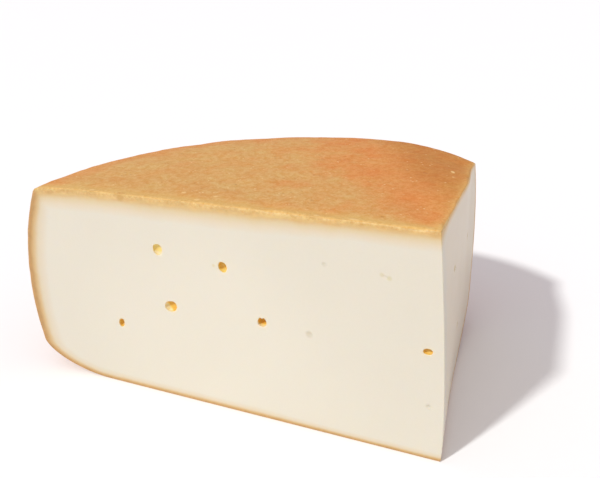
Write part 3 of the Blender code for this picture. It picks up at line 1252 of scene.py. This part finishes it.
@dataclass(frozen=True)
class PasteFinish(Finish):
    """The pale, smooth paste of the cut faces, with the rind seen in section along their edges.

    Reach is the depth in millimetres that counts as 1 in the fades over the depth.
    """

    light: float = 1.22
    reach: float = 14.0
    top_section: Section = (
        (0.0, (226, 187, 119)),
        (0.8, (227, 188, 121)),
        (1.7, (233, 195, 130)),
        (2.5, (234, 197, 133)),
        (3.3, (231, 198, 143)),
        (4.2, (233, 207, 160)),
        (5.3, (235, 215, 175)),
        (7.4, (238, 222, 194)),
        (11.0, (237, 230, 212)),
    )
    rim_section: Section = (
        (0.0, (206, 160, 103)),
        (2.1, (208, 163, 104)),
        (3.1, (217, 178, 122)),
        (3.9, (223, 188, 135)),
        (4.8, (227, 198, 151)),
        (5.7, (230, 208, 169)),
        (6.8, (233, 218, 188)),
        (9.0, (235, 222, 198)),
        (12.5, (237, 230, 212)),
    )
    stains_and_dimple_shades: tuple[Fleck, ...] = (
        # Stains in the paste.
        Fleck((0.0050, -0.0689, 0.0720), 0.0011, 0.5, (232, 215, 152)),
        Fleck((-0.0405, -0.0689, 0.0985), 0.0026, 0.6, (213, 167, 92)),
        # Painted shade: greyer, darker spots where the faint dimples are.
        Fleck((0.0483, -0.0689, 0.0472), 0.0021, 0.75, (218, 208, 184)),
        Fleck((0.0826, -0.0689, 0.0783), 0.0015, 0.75, (226, 216, 180)),
        Fleck((0.0796, -0.0689, 0.0793), 0.0013, 0.65, (226, 216, 180)),
        Fleck((0.0561, -0.0689, 0.0803), 0.0015, 0.7, (224, 214, 194)),
        Fleck((0.0981, -0.0689, 0.0251), 0.0017, 0.6, (222, 214, 196)),
    )
    wobble: Grain = Grain(150.0, 3.0, strength=1.3)
    fine_wobble: Grain = Grain(620.0, strength=0.5)
    steeper: Fade = (0.02, 0.07, 0.28)
    near_rind: Fade = (0.32, 0.14, 1.0)
    layering: Grain = Grain(560.0, stretch=(0.22, 0.22, 1.0))
    layers: Layers = (((0.02, 0.16, 0.6), (240, 208, 141)), ((-0.02, -0.16, 0.5), (226, 180, 116)))
    broken: Fade = (0.20, 0.08, 1.0)
    crumbling: Grain = Grain(720.0, roughness=0.6)
    crumbs: Layers = (((0.52, 0.62, 0.7), (240, 206, 138)), ((0.46, 0.36, 0.55), (221, 172, 94)))
    cloud: Grain = Grain(24.0, 3.0)
    cloud_strength: float = 0.04
    cloud_relief: float = 2.0
    crumb_relief: float = 9.0
    fine_grain: Grain = Grain(1400.0, strength=0.03)
    mottle: Grain = Grain(330.0, strength=0.30)
    mottled: Fade = (0.34, 0.10, 1.0)
    brightness: float = 0.99
    # Painted light: the paste is made brighter round this place on the front face, as a soft glow.
    painted_glow_at: Triple = (0.004, -0.069, 0.036)
    painted_glow: Fade = (0.085, 0.02, 0.045)
    # Darker near the rind towards the left end.
    duller: Fade = (-0.04, -0.10, 0.05)
    # Painted light: where the end face lies, the paste is tinted lighter in red and less blue.
    end_across: Fade = (0.066, 0.078, 1.0)
    end_back: Fade = (-0.066, -0.058, 1.0)
    painted_end_light: Tint = (1.05, 0.995, 0.955)
    # Painted shade in the holes: pale near the mouth, then golden, then brown the deeper in.
    hole_light: float = 0.94
    painted_hole_shades: tuple[Shade, Shade, Shade] = ((226, 209, 160), (227, 200, 114), (222, 172, 70))
    hole_mottle: Grain = Grain(900.0, strength=0.35)
    hole_deep: Fade = (0.05, 0.35, 1.0)
    hole_gold: Fade = (0.1, 0.75, 1.0)
    hole_brown: Fade = (0.75, 1.1, 1.0)
    hole_wall: Fade = (0.02, 0.30, 1.0)
    hole_ochre: Fade = (0.0, 0.22, 1.0)
    relief: Grain = Grain(700.0, 3.0)
    roughness: float = 0.46
    gloss: Grain = Grain(90.0, strength=0.16)

    def section(self, graph: Graph, depth: Wire, stops: Section) -> Wire:
        """The shades of a section as a ramp over the depth."""
        ramp = tuple((place / self.reach, self.tone(shade)) for place, shade in stops)
        return graph.wire("ShaderNodeValToRGB", {0: depth}, {"stops": ramp})

    def in_holes(self, graph: Graph, base: Wire) -> Wire:
        """Lays painted shade over the holes' walls: pale, then golden, then brown the deeper in.

        Args:
            graph: the material's nodes.
            base: the paste's colour.

        Returns:
            The colour.
        """
        painted_shade = graph.attribute("hole_ochre")
        wall = graph.attribute("hole_wall")
        # Painted shade: darker the deeper in the hole.
        shade = painted_shade * graph.fade(wall, self.hole_deep) + graph.sway(self.hole_mottle)
        pale, gold, brown = (linear(tone, self.hole_light) for tone in self.painted_hole_shades)
        golden = graph.mix(graph.fade(shade, self.hole_gold), pale, gold)
        deep = graph.mix(graph.fade(shade, self.hole_brown), golden, brown)
        return graph.mix(graph.fade(wall, self.hole_wall) * graph.fade(painted_shade, self.hole_ochre), base, deep)

    def material(self) -> bpy.types.Material:
        """Builds the paste: shades by depth under the rind, faint clouds, and painted light and shade.

        The painted light is a glow round the middle of the front and a lighter, warmer end face; the
        painted shade is gold and brown in the holes and greyer spots at the dimples.

        Returns:
            The material.
        """
        graph = Graph("paste")
        across, back, _ = graph.axes()
        wobble = graph.sway(self.wobble) + graph.sway(self.fine_wobble)
        steeper = graph.fade(across, self.steeper) + 1.0
        depth = (graph.attribute("under_skin") * 1000.0 * steeper + wobble) / self.reach
        near = graph.fade(depth, self.near_rind)
        broken = graph.fade(depth, self.broken)
        crumbling = graph.noise(self.crumbling)
        top = self.section(graph, depth, self.top_section)
        top = self.laid(graph, top, graph.sway(self.layering), near, self.layers)
        top = self.laid(graph, top, crumbling, broken, self.crumbs)
        base = graph.mix(graph.attribute("rim_share"), top, self.section(graph, depth, self.rim_section))

        cloud = graph.sway(self.cloud)
        # Painted light: a glow round the front's middle, less a darkening near the rind towards the left end.
        painted_glow = graph.around(self.painted_glow_at, self.painted_glow) - graph.fade(across, self.duller) * near
        mottle = graph.sway(self.mottle) * graph.fade(depth, self.mottled)
        fine = graph.sway(self.fine_grain)
        base = graph.scaled(base, self.brightness + painted_glow + cloud * self.cloud_strength + fine + mottle)
        # Stains, and painted shade in the dimples.
        for fleck in self.stains_and_dimple_shades:
            fade = (fleck.reach, fleck.core * fleck.reach, fleck.strength)
            base = graph.mix(graph.around(fleck.at, fade), base, self.tone(fleck.shade))
        # Painted light: the end face's paste is tinted warmer and lighter in red.
        at_end = graph.fade(across, self.end_across) * graph.fade(back, self.end_back)
        base = graph.mix(at_end, base, graph.tinted(base, self.painted_end_light))

        relief = graph.noise(self.relief) + cloud * self.cloud_relief
        relief = relief + crumbling * broken * self.crumb_relief
        return graph.finish(
            {
                "Base Color": self.in_holes(graph, base),
                "Roughness": self.roughness + graph.sway(self.gloss),
                "Normal": graph.bump(relief, 0.12, 0.0002),
                "IOR": 1.45,
                "Specular IOR Level": 0.35,
                "Subsurface Weight": 0.3,
                "Subsurface Radius": (1.0, 0.7, 0.4),
                "Subsurface Scale": 0.0025,
            }
        )


@dataclass(frozen=True)
class Mark:
    """A small oval mark on the top of the rind, in the part's own frame, turned by some degrees."""

    x: float
    y: float
    half_length: float
    half_width: float
    turn: float
    strength: float
    height: float = 0.1
    half_height: float = 0.02
    edge: Pair = (1.15, 0.55)

    def mask(self, graph: Graph) -> Wire:
        """The mark's strength inside the oval and 0 outside, with a soft edge.

        Args:
            graph: the material's nodes.

        Returns:
            The mask.
        """
        oval = {
            "Vector": graph.place,
            "Location": (self.x, self.y, self.height),
            "Rotation": (0.0, 0.0, float(np.radians(self.turn))),
            "Scale": (self.half_length, self.half_width, self.half_height),
        }
        moved = graph.wire("ShaderNodeMapping", oval, {"vector_type": "TEXTURE"})
        return graph.fade(graph.length(moved), (*self.edge, self.strength))


@dataclass(frozen=True)
class RindFinish(Finish):
    """The dry, sandy rind: tan on the top, browner round the rim, with pale specks and fine pits.

    Beside the cuts it is paler and crumbly, by the distance from the nearest cut in millimetres. Each
    strength there is followed by what is taken off beside the end cut, and by the share on the rim.
    """

    axis_at: Pair = (0.0259, -0.0612)
    sand: Shade = (210, 161, 95)
    orange: Shade = (214, 140, 74)
    brown: Shade = (190, 126, 58)
    rim: Shade = (190, 116, 58)
    speck: Shade = (244, 214, 160)
    pit: Shade = (160, 96, 44)
    near_cut: Shade = (220, 179, 104)
    cut_line: Shade = (222, 181, 114)
    pale_mark: Shade = (238, 201, 138)
    pale_marks: tuple[Mark, ...] = (
        Mark(0.0924, 0.0024, 0.0022, 0.0009, 115.0, 0.9),
        Mark(0.0942, -0.0062, 0.0012, 0.0007, 100.0, 0.4),
        Mark(-0.0573, -0.0668, 0.0014, 0.0010, 0.0, 0.8),
        Mark(-0.0130, -0.0591, 0.0012, 0.0010, 20.0, 0.8),
        Mark(-0.0023, -0.0655, 0.0016, 0.0011, 0.0, 0.7),
        Mark(0.0034, -0.0596, 0.0012, 0.0009, 40.0, 0.6),
        Mark(0.0684, -0.0672, 0.0022, 0.0010, 0.0, 0.7),
        Mark(0.0530, -0.0670, 0.0014, 0.0011, 0.0, 0.6),
    )
    dark_mark: Mark = Mark(-0.0404, -0.0680, 0.0026, 0.0018, 0.0, 0.35)
    cloud: Grain = Grain(38.0, 4.0, 0.6)
    wide: Grain = Grain(14.0)
    warm: Fade = (0.62, 0.98, 1.0)
    # Browner towards the far right: partly the rind's own colour, partly painted shade.
    far: Fade = (0.088, 0.125, 0.75)
    inside: Fade = (0.1165, 0.095, 1.0)
    outer: Fade = (0.03, -0.02, 0.70)
    under: Fade = (0.0955, 0.088, 1.0)
    blotch: Grain = Grain(30.0, 4.0, 0.6, stretch=(1.0, 1.0, 1.5))
    blotches: Layers = (((0.50, 0.68, 0.5), (208, 150, 88)), ((0.47, 0.34, 0.45), (166, 92, 42)))
    bands: Grain = Grain(210.0, stretch=(0.06, 0.06, 1.0))
    dark_bands: Layers = (((0.52, 0.36, 0.28), (166, 92, 42)),)
    streaks: Grain = Grain(420.0, 3.0, 0.6, stretch=(1.0, 1.0, 0.22))
    sandy: Grain = Grain(950.0, 3.0, 0.65)
    coarse: Grain = Grain(330.0, 3.0, 0.6)
    grain: Fade = (0.39, 0.61, 1.0)
    grain_dark: Tint = (0.94, 0.865, 0.70)
    grain_pale: Tint = (1.055, 1.14, 1.35)
    stain: Grain = Grain(95.0, 3.0, 0.55)
    stains: tuple[tuple[Fade, Tint], ...] = (
        ((0.50, 0.64, 0.7), (1.0, 0.90, 0.82)),
        ((0.50, 0.36, 0.7), (1.0, 1.09, 1.12)),
    )
    specks: Spots = Spots(420.0, (0.26, 0.12, 1.0), Grain(150.0, 1.0), (0.52, 0.68, 1.0))
    speck_strength: float = 0.55
    pits: Spots = Spots(300.0, (0.30, 0.10, 1.0), Grain(85.0, 1.0), (0.55, 0.7, 1.0))
    beside: Fade = (16.0, 5.0, 0.6)
    beside_tint: Tint = (1.05, 1.10, 1.08)
    end_across: Fade = (0.066, 0.074, 1.0)
    end_back: Fade = (-0.066, -0.060, 1.0)
    uneven: Grain = Grain(260.0, strength=2.6)
    near: Fade = (8.0, 0.3, 1.0)
    near_strength: Triple = (0.84, 0.56, 0.6)
    lumps: Grain = Grain(290.0, strength=6.0)
    line: Fade = (2.6, 0.6, 1.0)
    line_strength: Triple = (0.75, 0.45, 0.4)
    broken: Fade = (4.5, 1.2, 1.0)
    broken_strength: Triple = (1.0, 0.6, 0.6)
    crumbling: Grain = Grain(720.0, roughness=0.6)
    crumbs: Layers = (((0.52, 0.66, 0.6), (233, 193, 123)), ((0.47, 0.36, 0.7), (214, 163, 86)))

    def clouds(self, graph: Graph, across: Wire, back: Wire, under: Wire) -> Wire:
        """Clouds of tan and orange on the top, darker at its far end and all round the rim.

        The brown at the far end is partly the rind's own colour and partly painted shade.

        Args:
            graph: the material's nodes.
            across: how far across each place is.
            back: how far back each place is.
            under: 1 on the rim and 0 on the top.

        Returns:
            The colour.
        """
        cloud, wide = graph.noise(self.cloud), graph.noise(self.wide)
        warm = cloud * 0.8 + wide * 0.5 + across * 3.2 + (back + 0.045) * 2.0
        base = graph.mix(graph.fade(warm, self.warm), self.tone(self.sand), self.tone(self.orange))
        # Browner towards the far right corner: partly the rind's own colour, partly painted shade.
        far = across * 1.5 + back * 0.9 + (wide - 0.5) * 0.05
        base = graph.mix(graph.fade(far, self.far), base, self.tone(self.brown))
        away = {0: across - self.axis_at[0], 1: back - self.axis_at[1]}
        inside = graph.fade(graph.length(graph.wire("ShaderNodeCombineXYZ", away)), self.inside)
        outer = (1.0 - inside) * graph.fade(across, self.outer)
        base = graph.mix(outer, base, self.tone(self.orange))
        return graph.mix(under, base, self.tone(self.rim))

    def material(self) -> bpy.types.Material:
        """Builds the rind: clouds, sandy grain, specks, pits, and a pale crumbly edge at the cuts.

        Returns:
            The material.
        """
        graph = Graph("rind")
        across, back, up = graph.axes()
        under = graph.fade(up, self.under)
        bands = graph.noise(self.bands)
        base = self.clouds(graph, across, back, under)
        base = self.laid(graph, base, graph.noise(self.blotch), under, self.blotches)
        base = self.laid(graph, base, bands, under, self.dark_bands)

        streaks, sandy, coarse = (graph.noise(it) for it in (self.streaks, self.sandy, self.coarse))
        grain = graph.fade(sandy * 0.45 + coarse * 0.55 + (streaks - 0.5) * under * 0.4, self.grain)
        base = graph.mix(grain, graph.tinted(base, self.grain_dark), graph.tinted(base, self.grain_pale))
        stain = graph.noise(self.stain)
        for fade, tint in self.stains:
            base = graph.mix(graph.fade(stain, fade), base, graph.tinted(base, tint))

        specks, pits = graph.spots(self.specks), graph.spots(self.pits)
        base = graph.mix(specks * self.speck_strength, base, self.tone(self.speck))
        base = graph.mix(pits * (0.15 + under * 0.3), base, self.tone(self.pit))

        edge = graph.attribute("from_cut") * 1000.0
        beside = graph.fade(edge, self.beside) * (1.0 - under)
        base = graph.mix(beside, base, graph.tinted(base, self.beside_tint))
        uneven = edge + graph.sway(self.uneven)
        at_end = graph.fade(across, self.end_across) * graph.fade(back, self.end_back)

        def weakened(strength: Triple) -> Wire:
            """A strength that is less beside the end cut and on the rim."""
            return (strength[0] - at_end * strength[1]) * (1.0 - under * strength[2])

        near = graph.fade(uneven + at_end * 1.5, self.near) * weakened(self.near_strength)
        base = graph.mix(near, base, self.tone(self.near_cut))
        line = graph.fade(uneven + (sandy - 0.5) * 1.6 - graph.sway(self.lumps), self.line)
        base = graph.mix(line * weakened(self.line_strength), base, self.tone(self.cut_line))
        broken = graph.fade(edge, self.broken) * weakened(self.broken_strength)
        crumbling = graph.noise(self.crumbling)
        base = self.laid(graph, base, crumbling, broken, self.crumbs)

        flakes = self.pale_marks[0].mask(graph)
        for mark in self.pale_marks[1:]:
            flakes = flakes + mark.mask(graph)
        base = graph.mix(flakes * (0.65 + sandy * 0.6), base, self.tone(self.pale_mark))
        base = graph.mix(self.dark_mark.mask(graph) * (0.4 + sandy), base, self.tone(self.brown))

        height = sandy * 0.6 + coarse * 0.8 + specks * 0.35 - pits * 0.9 + flakes * 0.6
        height = height + (streaks * 0.5 + bands * 1.2) * under + crumbling * broken * 2.0
        return graph.finish(
            {
                "Base Color": base,
                "Roughness": 0.68 + (coarse - 0.5) * 0.3,
                "Normal": graph.bump(height, 0.5, 0.0005),
                "IOR": 1.45,
                "Specular IOR Level": 0.25,
            }
        )


@dataclass(frozen=True)
class FloorFinish:
    """The plain pale ground."""

    colour: Colour = (0.95, 0.95, 0.95, 1.0)
    unevenness: Grain = Grain(6.0, strength=0.01)

    def material(self) -> bpy.types.Material:
        """Builds a matt white with the faintest unevenness.

        Returns:
            The material.
        """
        graph = Graph("ground")
        tone = 1.0 + graph.sway(self.unevenness)
        return graph.finish({"Base Color": graph.scaled(self.colour, tone), "Roughness": 0.9})


@dataclass(frozen=True)
class Studio:
    """The ground, the soft light and the camera, whose angles are in degrees."""

    ground_reach: float = 6.0
    lens: float = 39.0
    sensor: float = 36.0
    clip: Pair = (0.01, 50.0)
    shift: float = -0.115
    yaw: float = -24.15008
    pitch: float = 17.43446
    roll: float = -2.70889
    stands: Triple = (0.1442905, -0.2843604, 0.1926685)
    to_light: Triple = (-0.32, -0.59, 0.74)
    key: float = 2.15
    key_spread: float = 4.5
    key_tint: Tint = (0.985, 1.0, 0.985)
    fill: float = 0.60
    fill_colour: Colour = (1.0, 0.935, 0.97, 1.0)

    def ground(self) -> None:
        """Lays the ground out as a wide flat sheet."""
        mesh = bpy.data.meshes.new("ground")
        ways = ((-1.0, -1.0), (1.0, -1.0), (1.0, 1.0), (-1.0, 1.0))
        corners = [(x * self.ground_reach, y * self.ground_reach, 0.0) for x, y in ways]
        mesh.from_pydata(corners, [], [(0, 1, 2, 3)])
        mesh.materials.append(FloorFinish().material())
        sheet = bpy.data.objects.new("ground", mesh)
        bpy.context.scene.collection.objects.link(sheet)

    def lights(self) -> None:
        """Sets one broad soft key light and an even fill from all round."""
        lamp = bpy.data.lights.new("key", "SUN")
        lamp.energy = self.key
        lamp.angle = float(np.radians(self.key_spread))
        lamp.color = self.key_tint
        holder = bpy.data.objects.new("key", lamp)
        holder.rotation_euler = Vector(self.to_light).to_track_quat("Z", "Y").to_euler()
        bpy.context.scene.collection.objects.link(holder)

        world = bpy.data.worlds.new("fill")
        world.use_nodes = True
        back = world.node_tree.nodes["Background"]
        back.inputs["Color"].default_value = self.fill_colour
        back.inputs["Strength"].default_value = self.fill
        bpy.context.scene.world = world

    def camera(self) -> None:
        """Stands the camera where the photograph was taken from, with its framing."""
        yaw, pitch, roll = np.radians((self.yaw, self.pitch, self.roll))
        ahead = Vector((np.sin(yaw) * np.cos(pitch), np.cos(yaw) * np.cos(pitch), -np.sin(pitch)))
        level = Vector((np.cos(yaw), -np.sin(yaw), 0.0))
        upright = level.cross(ahead)
        right = level * np.cos(roll) + upright * np.sin(roll)
        up = upright * np.cos(roll) - level * np.sin(roll)
        lens = bpy.data.cameras.new("camera")
        lens.sensor_width = self.sensor
        lens.lens = self.lens
        lens.shift_y = self.shift
        lens.clip_start, lens.clip_end = self.clip
        holder = bpy.data.objects.new("camera", lens)
        turned = Matrix((right, up, -ahead)).transposed().to_4x4()
        turned.translation = Vector(self.stands)
        holder.matrix_world = turned
        bpy.context.scene.collection.objects.link(holder)
        bpy.context.scene.camera = holder

    def build(self) -> None:
        """Sets up ground, light, camera and plain tones."""
        self.ground()
        self.lights()
        self.camera()
        settings = bpy.context.scene.view_settings
        settings.view_transform = "Standard"
        settings.look = "None"


# The ninth value of each hole is how dark the painted shade on its wall is.
HOLES = (
    GasHole("eye_1", Side.FRONT, -0.0493, 0.0756, 0.00250, 0.00270, 0.0015, 0.0, 0.62, pale_side=0.7),
    GasHole("eye_2", Side.FRONT, -0.0165, 0.0719, 0.00210, 0.00260, 0.0024, -12.0, 0.95, pale_side=0.2),
    GasHole(
        "eye_3", Side.FRONT, -0.0455, 0.0480, 0.00345, 0.00260, 0.0020, -20.0, 1.10,
        pale_side=0.8, pale_turn=212.0, lean=0.2,
    ),
    GasHole("eye_4", Side.FRONT, -0.0752, 0.0339, 0.00155, 0.00235, 0.0025, 14.0, 0.95),
    GasHole(
        "eye_5", Side.FRONT, 0.0007, 0.0486, 0.00210, 0.00225, 0.0029, 30.0, 1.15,
        pale_side=0.8, peaks=0.14,
    ),
    GasHole("eye_6", Side.FRONT, 0.0718, 0.0496, 0.00190, 0.00140, 0.0020, -4.0, 0.95, columns=3),
    GasHole("eye_7", Side.END, 0.0560, 0.0300, 0.00170, 0.00150, 0.0026, 15.0, 0.9),
    GasHole("eye_8", Side.END, 0.0860, 0.0620, 0.00150, 0.00190, 0.0026, -25.0, 0.9),
    GasHole("eye_9", Side.END, 0.0290, 0.0720, 0.00130, 0.00140, 0.0020, 0.0, 0.8),
    GasHole("dimple_1", Side.FRONT, 0.0224, 0.0475, 0.00190, 0.00150, 0.0004, 10.0, 0.03, Mouth.DIMPLE),
    GasHole("dimple_2", Side.FRONT, 0.0550, 0.0787, 0.00240, 0.00090, 0.0003, 25.0, 0.03, Mouth.DIMPLE),
    GasHole("dimple_3", Side.FRONT, 0.0302, 0.0804, 0.00120, 0.00100, 0.0002, 0.0, 0.02, Mouth.DIMPLE),
    GasHole(
        "dimple_4", Side.FRONT, 0.0725, 0.0248, 0.00140, 0.00090, 0.0003, 0.0, 0.03, Mouth.DIMPLE,
        columns=3,
    ),
)


def main() -> None:
    """Builds the cheese, dresses it, and sets it on the ground in the studio's light."""
    Studio().build()
    cheese = CheesePiece(WheelForm(), Cuts(), HOLES)
    piece = cheese.build()
    cheese.dress(piece, RindFinish(), PasteFinish())
    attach(piece, "root")
    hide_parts(NODE)
    faces = sum(len(polygon.vertices) - 2 for polygon in piece.data.polygons)
    log.info("%s: %d points, %d triangles", piece.name, len(piece.data.vertices), faces)


if __name__ == "__main__":
    logging.basicConfig(level=logging.INFO, format="%(name)s: %(message)s")
    main()
